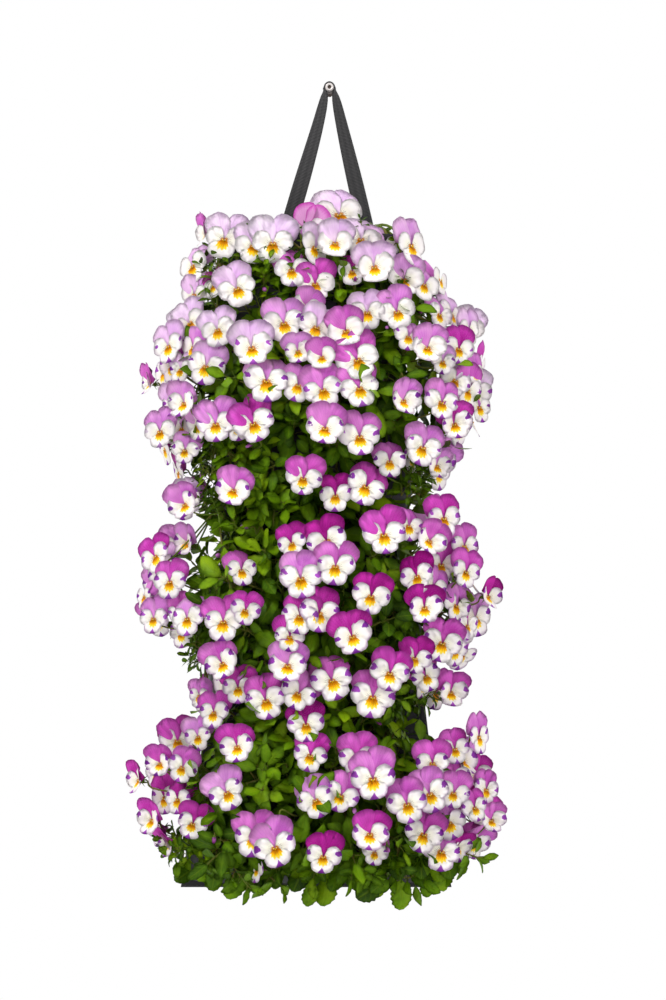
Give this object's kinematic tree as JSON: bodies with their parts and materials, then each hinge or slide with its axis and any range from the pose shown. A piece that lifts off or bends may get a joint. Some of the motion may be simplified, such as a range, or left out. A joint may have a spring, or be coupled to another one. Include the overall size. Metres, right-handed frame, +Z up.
{
  "type": "hanging viola planter pouch",
  "caption": "Tall black fabric wall pouch with tiers of planted pockets, overflowing with white and purple violas, hung by a webbing strap on a wall screw.",
  "frame": {"origin": "on the axis of the wall screw that the strap hangs on, in the plane of the wall", "axes": "+Z up, the planted front faces -Y and the flat back lies on the wall plane y = 0, +X is to the right when seen from the front"},
  "size_m": [0.3818, 0.2075, 0.8438],
  "materials": {
    "pouch_fabric": "black coated woven fabric, slightly glossy",
    "hem_tape": "black ribbed binding tape, matt",
    "strap_webbing": "charcoal ribbed webbing, matt",
    "screw_steel": "plain bright steel",
    "compost": "damp dark peat and bark compost",
    "root_ball": "compost bound by pale roots",
    "viola_leaves": "fresh green leaves, satin",
    "viola_petals": "soft white, lilac and magenta petals with yellow eyes"
  },
  "bodies": {
    "root": {"back_panel": "pouch_fabric", "hem_tape": "hem_tape", "hanging_strap": "strap_webbing", "wall_screw": "screw_steel", "pocket_top": "pouch_fabric", "soil_top": "compost", "viola_top_left_root_ball": "root_ball", "viola_top_left_foliage": "viola_leaves", "viola_top_left_blooms": "viola_petals", "viola_top_middle_root_ball": "root_ball", "viola_top_middle_foliage": "viola_leaves", "viola_top_middle_blooms": "viola_petals", "viola_top_right_root_ball": "root_ball", "viola_top_right_foliage": "viola_leaves", "viola_top_right_blooms": "viola_petals", "pocket_upper": "pouch_fabric", "soil_upper": "compost", "viola_upper_left_root_ball": "root_ball", "viola_upper_left_foliage": "viola_leaves", "viola_upper_left_blooms": "viola_petals", "viola_upper_middle_root_ball": "root_ball", "viola_upper_middle_foliage": "viola_leaves", "viola_upper_middle_blooms": "viola_petals", "viola_upper_right_root_ball": "root_ball", "viola_upper_right_foliage": "viola_leaves", "viola_upper_right_blooms": "viola_petals", "pocket_lower": "pouch_fabric", "soil_lower": "compost", "viola_lower_left_root_ball": "root_ball", "viola_lower_left_foliage": "viola_leaves", "viola_lower_left_blooms": "viola_petals", "viola_lower_middle_root_ball": "root_ball", "viola_lower_middle_foliage": "viola_leaves", "viola_lower_middle_blooms": "viola_petals", "viola_lower_right_root_ball": "root_ball", "viola_lower_right_foliage": "viola_leaves", "viola_lower_right_blooms": "viola_petals", "pocket_bottom": "pouch_fabric", "soil_bottom": "compost", "viola_bottom_left_root_ball": "root_ball", "viola_bottom_left_foliage": "viola_leaves", "viola_bottom_left_blooms": "viola_petals", "viola_bottom_middle_root_ball": "root_ball", "viola_bottom_middle_foliage": "viola_leaves", "viola_bottom_middle_blooms": "viola_petals", "viola_bottom_right_root_ball": "root_ball", "viola_bottom_right_foliage": "viola_leaves", "viola_bottom_right_blooms": "viola_petals"}
  },
  "joints": []
}
